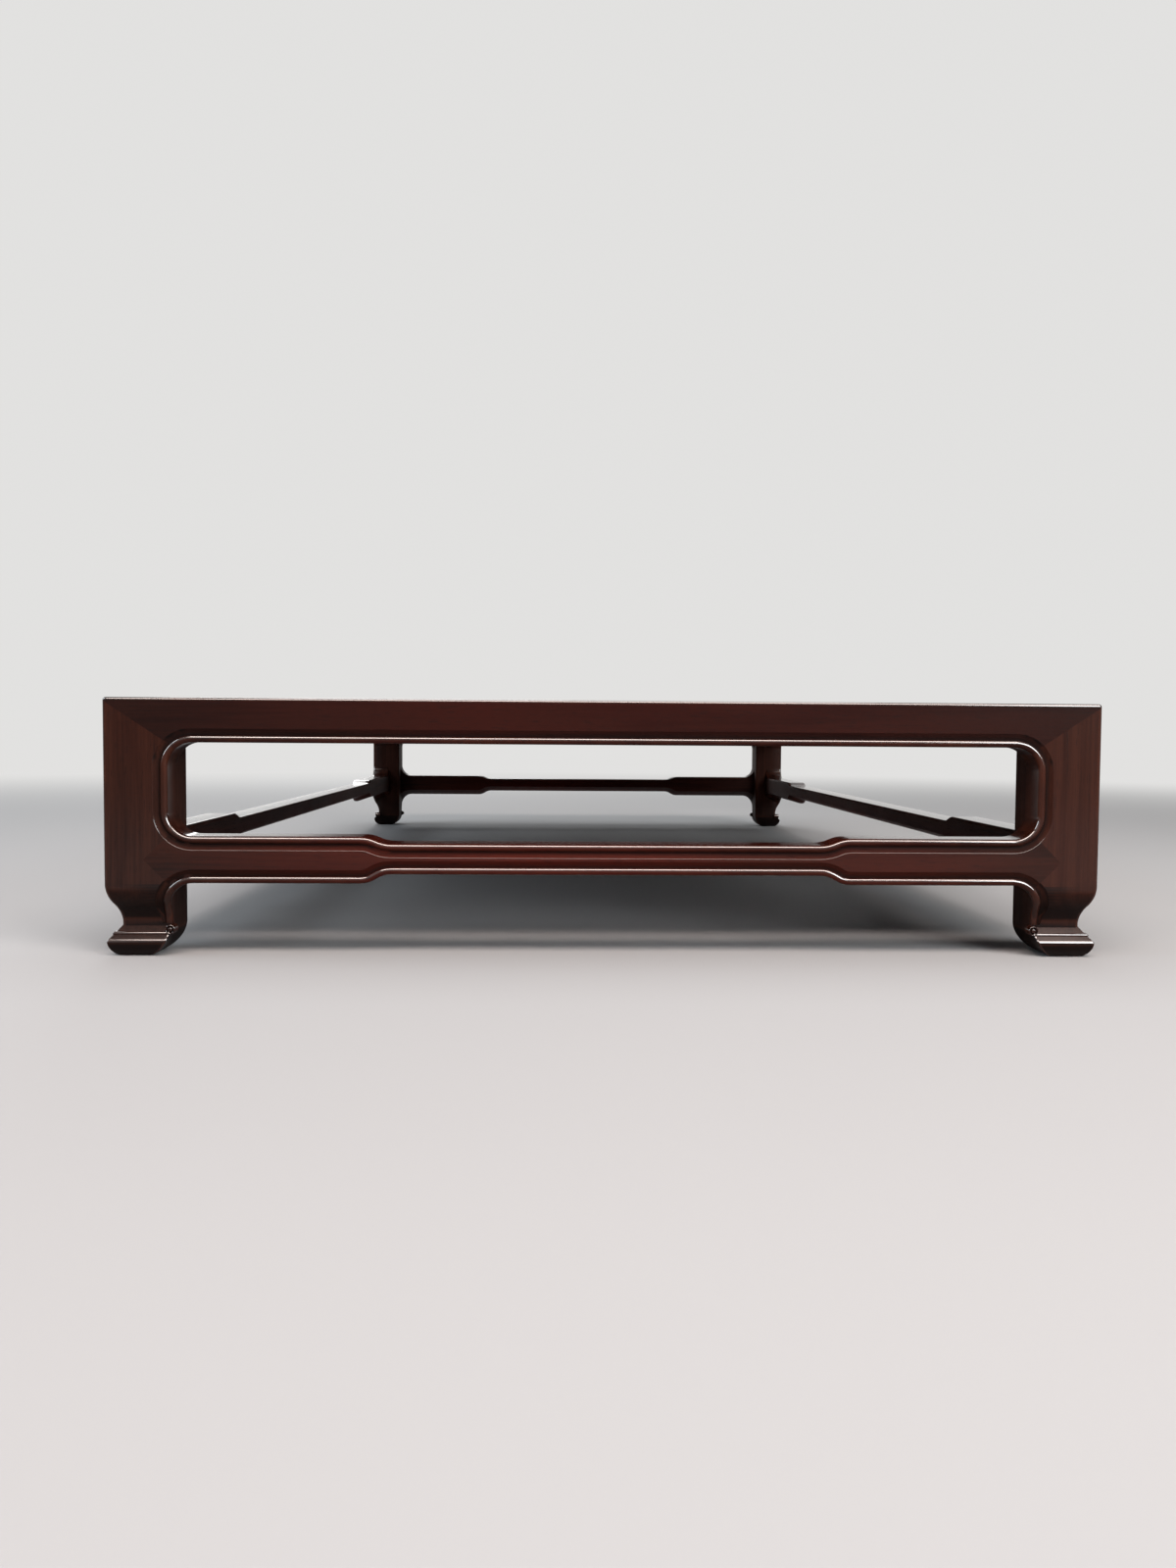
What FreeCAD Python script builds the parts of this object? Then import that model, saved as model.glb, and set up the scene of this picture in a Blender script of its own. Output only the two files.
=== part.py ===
import FreeCAD, Part

import math
import os
import re

import Sketcher
from FreeCAD import Placement, Rotation, Vector

# Low display table of dark rosewood: a mitred and panelled top on four hoofed legs, tied near the
# floor by waisted stretchers. Millimetres, +Z up, origin on the floor under the middle of the top.
# The short sides are the ends of the table (front and rear, along X), the long sides run along Y.
# Every piece is drawn in corner coordinates: x and y from the outer faces, z from the floor.

# Driving sizes, each an aliased cell of the sheet
SIZES = {
    "table_width": (350, "short side, over the legs"),
    "table_length": (590, "long side, over the legs"),
    "table_height": (90.5, "floor to the top of the frame"),
    "leg_width": (22, "square section of a leg"),
    "rail_height": (15.6, "depth of the top frame"),
    "rail_width": (38, "width of a frame rail, seen from above"),
    "corner_arris": (1.4, "rounding of the upright outer corner"),
    "top_arris": (1.0, "rounding of the frame's top outer edge"),
    "inner_arris": (1.5, "rounding of the edges that face the middle"),
    "small_arris": (0.4, "rounding around the panel and along the battens"),
    "curve_top": (25.5, "height at which a leg starts to sweep in"),
    "neck_level": (11.1, "height of the narrowest part of a leg"),
    "neck_inset": (4.5, "how far the neck lies behind the outer face"),
    "neck_flat": (0.8, "short upright below the neck"),
    "toe_level": (5.6, "height of the toe's widest line"),
    "toe_inset": (0.5, "toe's widest line behind the outer face"),
    "sole_inset": (3.6, "front of the sole behind the outer face"),
    "toe_bead_level": (8.0, "height of the bead across the toe's slope"),
    "toe_bead_radius": (0.75, "bead across the toe's slope"),
    "scroll_level": (9.3, "height of the curl at the inner end of the toe"),
    "scroll_radius": (1.7, "curl at the inner end of the toe"),
    "scroll_front": (2.0, "face of the curl behind the outer face"),
    "scroll_depth": (4, "curl, front to back"),
    "scroll_ring": (1.0, "ring cut in the face of the curl"),
    "scroll_cut": (0.28, "depth of that ring"),
    "heel_level": (10, "height at which the inner face starts to curve"),
    "heel_inset": (7, "back of the sole in front of the inner face"),
    "stretcher_setback": (8.5, "stretcher's inner face in front of the leg's"),
    "stretcher_height": (16.5, "stretcher at its ends"),
    "stretcher_level": (25.8, "floor to the underside of a stretcher's ends"),
    "underside_rise": (4, "how much a stretcher's underside rises to the inside"),
    "underside_start": (3, "outer face to where the underside starts to rise"),
    "upper_waist_step": (2.4, "how much the waist loses above"),
    "lower_waist_step": (3.3, "how much the waist loses below"),
    "waist_run": (11, "length of the curve into the waist"),
    "end_waist_start": (88.5, "outer face to the waist, end stretchers"),
    "side_waist_start": (113, "outer face to the waist, side stretchers"),
    "corner_radius": (8.5, "rounded inner corners of the openings"),
    "corner_depth": (13, "front to back of the corners under the rails"),
    "bead_radius": (1.3, "bead along the edges of the openings"),
    "bead_drop": (0.15, "bead's crest behind the flat face"),
    "groove_depth": (1.05, "quirk between bead and cove"),
    "cove_width": (2.6, "cove beside the bead"),
    "cove_ease": (0.5, "rounding where the cove meets the flat face"),
    "panel_drop": (0.5, "panel's face below the frame's top"),
    "panel_thickness": (8.5, "thickness of the panel boards"),
    "panel_gap": (0.4, "room around the panel for the wood to move"),
    "tongue_thickness": (4, "panel tongue"),
    "tongue_length": (5, "panel tongue beyond the rail's inner face"),
    "tongue_drop": (3, "frame's top to the top of the tongue"),
    "rail_groove_depth": (6, "groove for the tongue"),
    "batten_width": (14, "batten under the panel"),
    "batten_height": (5.5, "batten below the panel"),
    "batten_spacing": (165, "from one batten to the next"),
    "dovetail_neck": (8, "dovetail where it enters the panel"),
    "dovetail_flare": (1, "dovetail widens by this on each side"),
    "dovetail_height": (3, "dovetail inside the panel"),
    "batten_shoulder": (1, "panel's underside to the top of a batten tenon"),
    "batten_tenon_width": (10, "batten tenon across"),
    "batten_tenon_length": (10, "batten tenon into a side rail"),
    "tenon_cover": (1.5, "wood kept below a batten tenon"),
    "stretcher_tenon_height": (8, "stretcher tenon, upright"),
    "stretcher_tenon_thickness": (4, "stretcher tenon, front to back"),
    "stretcher_tenon_wall": (1, "wood between the two stretcher tenons in a leg"),
    "stretcher_tip_wall": (0.25, "wood between the points of two stretchers"),
    "leg_tenon_setback": (5, "leg's top tenons behind the outer face"),
    "leg_tenon_thickness": (4.5, "leg's top tenons, front to back"),
    "leg_tenon_width": (6, "leg's top tenons, along the rail"),
    "leg_tenon_gap": (2, "between the two top tenons of a leg"),
    "leg_tenon_cover": (4, "wood left above the leg's top tenons"),
    "mitre_tenon_width": (10, "tenon across the frame's mitre"),
    "mitre_tenon_thickness": (4, "tenon across the mitre, upright"),
    "mitre_tenon_level": (3, "underside of the rail to that tenon"),
    "mitre_tenon_end": (8, "end of that tenon to the outer face"),
    "mitre_tenon_wall": (2, "wood between that tenon and the panel groove"),
    "joint_clearance": (0.1, "glue room around tenons and tongues"),
}

# Boards glued up for the panel, and battens under it, named from left to right and front to rear
BOARD_NAMES = ("left", "middle", "right")
BATTEN_NAMES = ("front", "middle", "rear")

# How far cutting solids overshoot the faces that they cut, and grown-on ones reach inside
OVERSHOOT = 1

# Half the foot of the toe's bead, against its radius: a little less than a half round
BEAD_CHORD = 0.92

# The rounding of a cove's edge starts this far in front of the face, and so cuts it cleanly
EASE_LIFT = 0.03

# Two places closer than this are the same place
NEAR = 1e-4

# From the front face, or a side's outer face, to the middle of the table
INWARD = Vector(0, 1, 0)

# Levels and places worked out from the driving sizes
RAIL_BOTTOM = "(table_height - rail_height)"
SEAM_TOP = "(table_height - top_arris)"
SEAM_SLOPE = "((rail_height - top_arris) / leg_width)"
STRETCHER_TOP = "(stretcher_level + stretcher_height)"
STRETCHER_MIDDLE = "(stretcher_level + stretcher_height / 2)"
STRETCHER_THICKNESS = "(leg_width - stretcher_setback)"
STRETCHER_TIP = f"max(leg_width - stretcher_height / 2; {STRETCHER_THICKNESS} + stretcher_tip_wall)"
CORNER_CUT = "(corner_radius * (1 - sqrt(0.5)))"
PANEL_BOTTOM = "(table_height - panel_drop - panel_thickness)"
TONGUE_TOP = "(table_height - tongue_drop)"
TONGUE_BOTTOM = "(table_height - tongue_drop - tongue_thickness)"
BATTEN_BOTTOM = f"({PANEL_BOTTOM} - batten_height)"
BATTEN_TENON_BOTTOM = f"(max({RAIL_BOTTOM}; {BATTEN_BOTTOM}) + tenon_cover)"
BATTEN_TENON_TOP = f"({PANEL_BOTTOM} - batten_shoulder)"
MITRE_TENON_END = "(rail_width - rail_groove_depth - mitre_tenon_wall)"
MITRE_TENON_START = f"({MITRE_TENON_END} - mitre_tenon_width)"
LEG_TENON_START = "(leg_tenon_setback + leg_tenon_thickness + leg_tenon_gap)"

ALIAS = re.compile(r"\b(" + "|".join(SIZES) + r")\b")

# Turning from a sketch's own plane to the upright planes of the table
PLANES = {
    "XY_Plane": Rotation(),
    "XZ_Plane": Rotation(Vector(1, 0, 0), 90),
    "YZ_Plane": Rotation(Vector(1, 1, 1), 120),
}

doc = FreeCAD.newDocument("display_table")
sheet = doc.addObject("Spreadsheet::Sheet", "Sizes")
for row, (alias, (size, meaning)) in enumerate(SIZES.items(), start=1):
    sheet.set(f"A{row}", meaning)
    sheet.set(f"B{row}", str(size))
    sheet.setAlias(f"B{row}", alias)
doc.recompute()


def bound(formula):
    """The formula with every size read from the sheet."""
    return ALIAS.sub(r"Sizes.\1", str(formula))


def value(formula):
    """The formula's number at the present sizes."""
    return float(sheet.evalExpression(bound(formula)))


def bind(item, **formulas):
    """Tie properties of an object to the sheet; x, y and z are its place."""
    for name, formula in formulas.items():
        path = f"Placement.Base.{name}" if name in ("x", "y", "z") else name
        item.setExpression(path, bound(formula))


# Sketches

def arc_between(first, last, radius, turn):
    """The short arc between two points, turning left (1) or right (-1) on the way."""
    chord = last - first
    left = Vector(-chord.y, chord.x, 0).normalize()
    rise = math.sqrt(max(radius ** 2 - (chord.Length / 2) ** 2, 0))
    center = first + chord * 0.5 + left * rise * turn
    start, end = (first, last) if turn > 0 else (last, first)
    from_angle = math.atan2(start.y - center.y, start.x - center.x)
    to_angle = math.atan2(end.y - center.y, end.x - center.x)
    if to_angle < from_angle:
        to_angle += 2 * math.pi
    return Part.ArcOfCircle(Part.Circle(center, Vector(0, 0, 1), radius), from_angle, to_angle)


def draw(sketch, corners, closed=True):
    """Draw a line through corners (x, y), each place tied to the sheet. A corner (x, y, radius,
    turn) is reached by an arc instead of a straight line."""
    spots = [Vector(value(corner[0]), value(corner[1]), 0) for corner in corners]
    count = len(corners)
    spans = [(index, index + 1) for index in range(count - 1)]
    if closed:
        spans.append((count - 1, 0))

    edges = []
    for first, last in spans:
        if len(corners[last]) == 2:
            edge = sketch.addGeometry(Part.LineSegment(spots[first], spots[last]))
            edges.append((edge, 1, 2))
            continue
        radius, turn = corners[last][2:]
        arc = arc_between(spots[first], spots[last], value(radius), turn)
        edge = sketch.addGeometry(arc)
        number = sketch.addConstraint(Sketcher.Constraint("Radius", edge, value(radius)))
        sketch.setExpression(f"Constraints[{number}]", bound(radius))
        edges.append((edge, 1, 2) if turn > 0 else (edge, 2, 1))

    for span, (edge, start, end) in enumerate(edges):
        following = edges[(span + 1) % len(edges)]
        if closed or span + 1 < len(edges):
            sketch.addConstraint(Sketcher.Constraint("Coincident", edge, end, *following[:2]))

    for index, corner in enumerate(corners):
        if index < len(edges):
            edge, point = edges[index][:2]
        else:
            edge, point = edges[-1][0], edges[-1][2]
        for kind, formula in zip(("DistanceX", "DistanceY"), corner[:2]):
            rule = Sketcher.Constraint(kind, -1, 1, edge, point, value(formula))
            number = sketch.addConstraint(rule)
            sketch.setExpression(f"Constraints[{number}]", bound(formula))


def body_sketch(body, name, plane, outlines, level="0"):
    """A sketch on one of a body's own planes, raised by level along the plane's normal."""
    sketch = body.newObject("Sketcher::SketchObject", name)
    support = [item for item in body.Origin.OriginFeatures if item.Role == plane][0]
    sketch.AttachmentSupport = [(support, "")]
    sketch.MapMode = "FlatFace"
    sketch.setExpression("AttachmentOffset.Base.z", bound(level))
    for outline in outlines:
        draw(sketch, outline)
    return sketch


def loose_sketch(name, plane, outline, closed=True, **place):
    """A sketch that stands by itself in one of the table's planes."""
    sketch = doc.addObject("Sketcher::SketchObject", name)
    sketch.Placement = Placement(Vector(), PLANES[plane])
    bind(sketch, **place)
    draw(sketch, outline, closed)
    return sketch


# Features and solids

def pad(body, sketch, length, inward=False):
    """Raise a sketch into a solid; inward is towards +Y from an upright sketch."""
    feature = body.newObject("PartDesign::Pad", f"{sketch.Name}_pad")
    feature.Profile = sketch
    feature.Reversed = inward
    bind(feature, Length=length)
    return feature


def pocket_through(body, sketch):
    """Cut a sketch right through the body, both ways."""
    feature = body.newObject("PartDesign::Pocket", f"{sketch.Name}_pocket")
    feature.Profile = sketch
    feature.Type = "ThroughAll"
    feature.Midplane = True
    return feature


def round_edges(body, name, radius, chosen):
    """Round those of the body's edges that the test chosen picks by their middle point."""
    doc.recompute()
    tip = body.Tip
    numbers = []
    for number, edge in enumerate(tip.Shape.Edges, start=1):
        middle = edge.valueAt((edge.FirstParameter + edge.LastParameter) / 2)
        if chosen(middle):
            numbers.append(f"Edge{number}")
    feature = body.newObject("PartDesign::Fillet", name)
    feature.Base = (tip, numbers)
    bind(feature, Radius=radius)
    return feature


def box(name, x, y, z):
    """A block from a pair of formulas, start and end, along each axis."""
    block = doc.addObject("Part::Box", name)
    bind(block, x=x[0], y=y[0], z=z[0])
    bind(block, Length=f"{x[1]} - ({x[0]})", Width=f"{y[1]} - ({y[0]})", Height=f"{z[1]} - ({z[0]})")
    return block


def extrude(name, sketch, direction, length):
    """Push a loose sketch along a direction into a solid."""
    solid = doc.addObject("Part::Extrusion", name)
    solid.Base = sketch
    solid.DirMode = "Custom"
    solid.Dir = direction
    solid.Solid = True
    bind(solid, LengthFwd=length)
    return solid


def mirrored(name, source, normal):
    """The mirror image of a solid in the upright plane through the origin."""
    image = doc.addObject("Part::Mirroring", name)
    image.Source = source
    image.Base = Vector()
    image.Normal = normal
    return image


def cut_all(name, solid, tools):
    """The solid with every tool cut away in turn."""
    for number, tool in enumerate(tools, start=1):
        result = doc.addObject("Part::Cut", f"{name}_cut{number}")
        result.Base = solid
        result.Tool = tool
        solid = result
    return solid


def join(name, solids):
    """Several solids grown into one."""
    result = doc.addObject("Part::MultiFuse", name)
    result.Shapes = solids
    return result


# Mouldings along the openings

def moulding_outline(spot):
    """Section of the cutter that leaves a bead on an edge and sinks a cove beside it. The function
    spot turns a distance from the edge and a depth behind the face into a place in the sketch."""
    bead_edge = "(bead_radius + bead_drop)"
    quirk = f"(bead_radius + sqrt(bead_radius ^ 2 - ({bead_edge} - groove_depth) ^ 2))"
    cove_edge = f"({quirk} + cove_width)"
    cove_depth = f"(groove_depth + {EASE_LIFT})"
    spread = f"(cove_width ^ 2 + {cove_depth} ^ 2)"
    cove_radius = f"({spread} / (2 * {cove_depth}) - cove_ease)"
    ease_start = f"({cove_edge} - 2 * cove_ease * cove_width * {cove_depth} / {spread})"
    ease_depth = f"(2 * cove_ease * {cove_depth} ^ 2 / {spread} - {EASE_LIFT})"
    return [
        spot(-OVERSHOOT, -OVERSHOOT),
        spot(-OVERSHOOT, bead_edge),
        spot(0, bead_edge),
        (*spot(quirk, "groove_depth"), "bead_radius", -1),
        (*spot(ease_start, ease_depth), cove_radius, 1),
        (*spot(cove_edge, -EASE_LIFT), "cove_ease", -1),
        spot(cove_edge, -OVERSHOOT),
    ]


def sweep(name, section, path):
    """A solid swept along every edge of a path."""
    doc.recompute()
    solid = doc.addObject("Part::Sweep", name)
    solid.Sections = [section]
    solid.Spine = (path, [f"Edge{number + 1}" for number in range(len(path.Shape.Edges))])
    solid.Solid = True
    return solid


def other_end(outline, length):
    """The same outline at the far end of a piece."""
    image = []
    for x, y, *arc in outline:
        turned = (arc[0], -arc[1]) if arc else ()
        image.append((f"{length} - ({x})", y, *turned))
    return image


def waist_line(length, start, level, way, step):
    """An edge of a stretcher from left to right, stepping up (1) or down (-1) into the waist."""
    radius = f"((waist_run ^ 2 + {step} ^ 2) / (4 * {step}))"
    middle = f"{level} + {way} * {step} / 2"
    inner = f"{level} + {way} * {step}"
    return [
        (start, level),
        (f"{start} + waist_run / 2", middle, radius, way),
        (f"{start} + waist_run", inner, radius, -way),
        (f"{length} - {start} - waist_run", inner),
        (f"{length} - {start} - waist_run / 2", middle, radius, -way),
        (f"{length} - {start}", level, radius, way),
    ]


def upper_edge(length, waist_start):
    """The top edge of a stretcher, from right to left."""
    line = waist_line(length, waist_start, STRETCHER_TOP, -1, "upper_waist_step")
    return other_end(line, length)


def lower_edge(length, waist_start):
    """The bottom edge of a stretcher, from left to right."""
    return waist_line(length, waist_start, "stretcher_level", 1, "lower_waist_step")


def opening_moulding(side, length, waist_start):
    """Cutter round the opening between rail, legs and stretcher on one side of the table."""
    right = f"{length} - leg_width"
    path = loose_sketch(f"{side}_opening_path", "XZ_Plane", [
        (f"{length} / 2", RAIL_BOTTOM),
        (f"{right} - corner_radius", RAIL_BOTTOM),
        (right, f"{RAIL_BOTTOM} - corner_radius", "corner_radius", -1),
        (right, f"{STRETCHER_TOP} + corner_radius"),
        (f"{right} - corner_radius", STRETCHER_TOP, "corner_radius", -1),
        *upper_edge(length, waist_start),
        ("leg_width + corner_radius", STRETCHER_TOP),
        ("leg_width", f"{STRETCHER_TOP} + corner_radius", "corner_radius", -1),
        ("leg_width", f"{RAIL_BOTTOM} - corner_radius"),
        ("leg_width + corner_radius", RAIL_BOTTOM, "corner_radius", -1),
    ])
    outline = moulding_outline(lambda distance, depth: (depth, f"{RAIL_BOTTOM} + {distance}"))
    section = loose_sketch(f"{side}_opening_section", "YZ_Plane", outline, x=f"{length} / 2")
    return sweep(f"{side}_opening_moulding", section, path)


def lower_moulding(side, length, waist_start):
    """Cutter down the legs and along the underside of the stretcher on one side of the table."""
    right = f"{length} - leg_width"
    path = loose_sketch(f"{side}_lower_path", "XZ_Plane", [
        ("leg_width", "neck_level"),
        ("leg_width", "stretcher_level - corner_radius"),
        ("leg_width + corner_radius", "stretcher_level", "corner_radius", -1),
        *lower_edge(length, waist_start),
        (f"{right} - corner_radius", "stretcher_level"),
        (right, "stretcher_level - corner_radius", "corner_radius", -1),
        (right, "neck_level"),
    ], closed=False)
    outline = moulding_outline(lambda distance, depth: (f"leg_width - ({distance})", depth))
    section = loose_sketch(f"{side}_lower_section", "XY_Plane", outline, z="neck_level")
    return sweep(f"{side}_lower_moulding", section, path)


def underside_slope(side, length, waist_start):
    """Cutter that planes the underside of the stretcher on one side up to the inside, and runs out
    along the rounded corners."""
    right = f"{length} - leg_width"
    foot = "stretcher_level - corner_radius"
    path = loose_sketch(f"{side}_underside_path", "XZ_Plane", [
        ("leg_width", foot),
        ("leg_width + corner_radius", "stretcher_level", "corner_radius", -1),
        *lower_edge(length, waist_start),
        (f"{right} - corner_radius", "stretcher_level"),
        (right, foot, "corner_radius", -1),
    ], closed=False)
    inside = f"({STRETCHER_THICKNESS} + {OVERSHOOT})"
    rise = f"underside_rise * ({inside} - underside_start) / ({STRETCHER_THICKNESS} - underside_start)"
    section = loose_sketch(f"{side}_underside_section", "XY_Plane", [
        ("leg_width", "underside_start"),
        (f"leg_width - {rise}", inside),
        (f"leg_width + {OVERSHOOT}", inside),
        (f"leg_width + {OVERSHOOT}", "underside_start"),
    ], z=foot)
    return sweep(f"{side}_underside_slope", section, path)


def corner_block(name, outline, depth):
    """A block that rounds off a corner of an opening, its rear edge eased along the round."""
    sketch = loose_sketch(f"{name}_sketch", "XZ_Plane", outline)
    block = extrude(name, sketch, INWARD, depth)
    doc.recompute()
    rear = value(depth)
    radius = value("inner_arris")
    eased = doc.addObject("Part::Fillet", f"{name}_eased")
    eased.Base = block
    eased.Edges = [
        (number, radius, radius)
        for number, edge in enumerate(block.Shape.Edges, start=1)
        if edge.Curve.TypeId == "Part::GeomCircle" and edge.CenterOfMass.y > rear - NEAR
    ]
    return eased


# Legs

def leg_outline():
    """A leg from the front: upright inside, and outside swept in to the neck and out to the toe."""
    sweep_radius = "((neck_inset ^ 2 + (curve_top - neck_level) ^ 2) / (4 * neck_inset))"
    toe_radius = "(((sole_inset - toe_inset) ^ 2 + toe_level ^ 2) / (2 * (sole_inset - toe_inset)))"
    heel_radius = "((heel_inset ^ 2 + heel_level ^ 2) / (2 * heel_inset))"
    slope = "((neck_inset - toe_inset) / (neck_level - neck_flat - toe_level))"
    bead_place = f"toe_inset + {slope} * (toe_bead_level - toe_level)"
    bead_rise = f"{BEAD_CHORD} * toe_bead_radius / sqrt(1 + {slope} ^ 2)"
    return [
        ("sole_inset", "0", toe_radius, 1),
        ("leg_width - heel_inset", "0"),
        ("leg_width", "heel_level", heel_radius, 1),
        ("leg_width", "table_height"),
        ("0", "table_height"),
        ("0", "curve_top"),
        ("neck_inset / 2", "(curve_top + neck_level) / 2", sweep_radius, 1),
        ("neck_inset", "neck_level", sweep_radius, -1),
        ("neck_inset", "neck_level - neck_flat"),
        (f"{bead_place} + {slope} * {bead_rise}", f"toe_bead_level + {bead_rise}"),
        (f"{bead_place} - {slope} * {bead_rise}", f"toe_bead_level - {bead_rise}", "toe_bead_radius", 1),
        ("toe_inset", "toe_level"),
    ]


def leg_corner(level, way):
    """The leg's half of a rounded corner above (1) or below (-1) a level of rail or stretcher."""
    root = f"leg_width - max(inner_arris; underside_rise) - {OVERSHOOT}"
    return [
        (root, level),
        ("leg_width", level),
        (f"leg_width + {CORNER_CUT}", f"{level} + {way} * {CORNER_CUT}"),
        ("leg_width", f"{level} + {way} * corner_radius", "corner_radius", -way),
        (root, f"{level} + {way} * corner_radius"),
    ]


def leg_scroll():
    """The small curl at the inner end of the toe, with a ring cut in its face."""
    facing = Rotation(Vector(1, 0, 0), -90)
    button = doc.addObject("Part::Cylinder", "leg_scroll_button")
    ring = doc.addObject("Part::Torus", "leg_scroll_ring")
    bind(button, Radius="scroll_radius", Height="scroll_depth")
    bind(ring, Radius1="scroll_ring", Radius2="scroll_cut")
    for item in (button, ring):
        item.Placement = Placement(Vector(), facing)
        bind(item, x="leg_width", y="scroll_front", z="scroll_level")
    return cut_all("leg_scroll", button, [ring])


def make_leg(mouldings, underside):
    """The front left leg. All that is done on its front face is done again on its left face, by a
    mirror image in the upright plane between the two."""
    def both(solid):
        return [solid, mirrored(f"{solid.Name}_left", solid, Vector(1, -1, 0))]

    front = loose_sketch("leg_front", "XZ_Plane", leg_outline())
    post = extrude("leg_post", front, INWARD, "leg_width + corner_radius")
    depth = STRETCHER_THICKNESS
    rail_corner = corner_block("leg_rail_corner", leg_corner(RAIL_BOTTOM, -1), "corner_depth")
    upper_corner = corner_block("leg_upper_corner", leg_corner(STRETCHER_TOP, 1), depth)
    lower_corner = corner_block("leg_lower_corner", leg_corner("stretcher_level", -1), depth)
    lower_corner = cut_all("leg_lower_corner_planed", lower_corner, [underside])
    blank = doc.addObject("Part::Common", "leg_blank")
    blank.Base, blank.Tool = both(join("leg_prism", [post, rail_corner, upper_corner, lower_corner]))
    doc.recompute()

    # The two upright corners on the plane between the faces, rounded before the joints are cut
    rounds = []
    for number, edge in enumerate(blank.Shape.Edges, start=1):
        middle = edge.valueAt((edge.FirstParameter + edge.LastParameter) / 2)
        if abs(middle.x - middle.y) < NEAR and middle.z > value("neck_level"):
            outer = middle.x < value("leg_width") / 2
            radius = value("corner_arris" if outer else "inner_arris")
            rounds.append((number, radius, radius))
    rounded = doc.addObject("Part::Fillet", "leg_rounded")
    rounded.Base = blank
    rounded.Edges = rounds

    # The slope under the rail's mitred end, the stretcher's seat and the mouldings
    slope = loose_sketch("leg_slope_sketch", "XZ_Plane", [
        (-OVERSHOOT, f"{SEAM_TOP} + {OVERSHOOT} * {SEAM_SLOPE}"),
        (f"leg_width + {OVERSHOOT}", f"{RAIL_BOTTOM} - {OVERSHOOT} * {SEAM_SLOPE}"),
        (f"leg_width + {OVERSHOOT}", f"table_height + {OVERSHOOT}"),
        (-OVERSHOOT, f"table_height + {OVERSHOOT}"),
    ])
    seat = loose_sketch("leg_seat_sketch", "XZ_Plane", [
        (STRETCHER_TIP, STRETCHER_MIDDLE),
        (f"leg_width + {CORNER_CUT}", f"stretcher_level - {CORNER_CUT}"),
        (f"leg_width + {CORNER_CUT}", f"{STRETCHER_TOP} + {CORNER_CUT}"),
    ])
    tools = [
        extrude("leg_slope", slope, INWARD, "leg_width"),
        extrude("leg_seat", seat, INWARD, STRETCHER_THICKNESS),
        stretcher_tenon("leg_mortise", "joint_clearance"),
        *mouldings,
    ]
    tools = [tool for front in tools for tool in both(front)]
    leg = cut_all("leg", rounded, tools)
    additions = [*both(leg_tenon("leg_tenon", "0")), *both(leg_scroll())]
    return join("leg_complete", [leg, *additions])


def stretcher_tenon(name, room):
    """A stretcher's left tenon, or with room the mortise for it. It stops short of the other
    stretcher's tenon in the same leg."""
    near_side = f"({STRETCHER_THICKNESS} - stretcher_tenon_thickness) / 2"
    far_side = f"({STRETCHER_THICKNESS} + stretcher_tenon_thickness) / 2"
    return box(
        name,
        (f"{far_side} + stretcher_tenon_wall - {room}", f"{STRETCHER_TIP} + {OVERSHOOT}"),
        (f"{near_side} - {room}", f"{far_side} + {room}"),
        (f"{STRETCHER_MIDDLE} - stretcher_tenon_height / 2 - {room}",
         f"{STRETCHER_MIDDLE} + stretcher_tenon_height / 2 + {room}"),
    )


def leg_tenon(name, room, far_end=None):
    """A leg's top tenon into a rail, or with room the mortise for it, at either end of the rail."""
    near = f"{LEG_TENON_START} - {room}"
    far = f"{LEG_TENON_START} + leg_tenon_width + {room}"
    along = (near, far) if far_end is None else (f"{far_end} - ({far})", f"{far_end} - ({near})")
    return box(
        name,
        along,
        (f"leg_tenon_setback - {room}", f"leg_tenon_setback + leg_tenon_thickness + {room}"),
        (f"{RAIL_BOTTOM} - {OVERSHOOT}", f"table_height - leg_tenon_cover + {room}"),
    )


# Top frame

def mitre_tenon(name, across, room, far_end=None):
    """The tenon across a mitre, or with room its mortise. It is drawn from either rail: across
    says whether the rail lies across the tenon (the end rails) or carries it (the side rails)."""
    wide = (f"{MITRE_TENON_START} - {room}", f"{MITRE_TENON_END} + {room}")
    deep = (f"mitre_tenon_end - {room}", f"{MITRE_TENON_END} + {OVERSHOOT}")
    along, inward = (wide, deep) if across else (deep, wide)
    if far_end is not None:
        along = (f"{far_end} - ({along[1]})", f"{far_end} - ({along[0]})")
    bottom = f"{RAIL_BOTTOM} + mitre_tenon_level"
    return box(name, along, inward, (f"{bottom} - {room}", f"{bottom} + mitre_tenon_thickness + {room}"))


def batten_places():
    """The middle line of each batten, from the front of the table."""
    last = len(BATTEN_NAMES) - 1
    return [f"(table_length / 2 + {index - last / 2} * batten_spacing)" for index in range(last + 1)]


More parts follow.
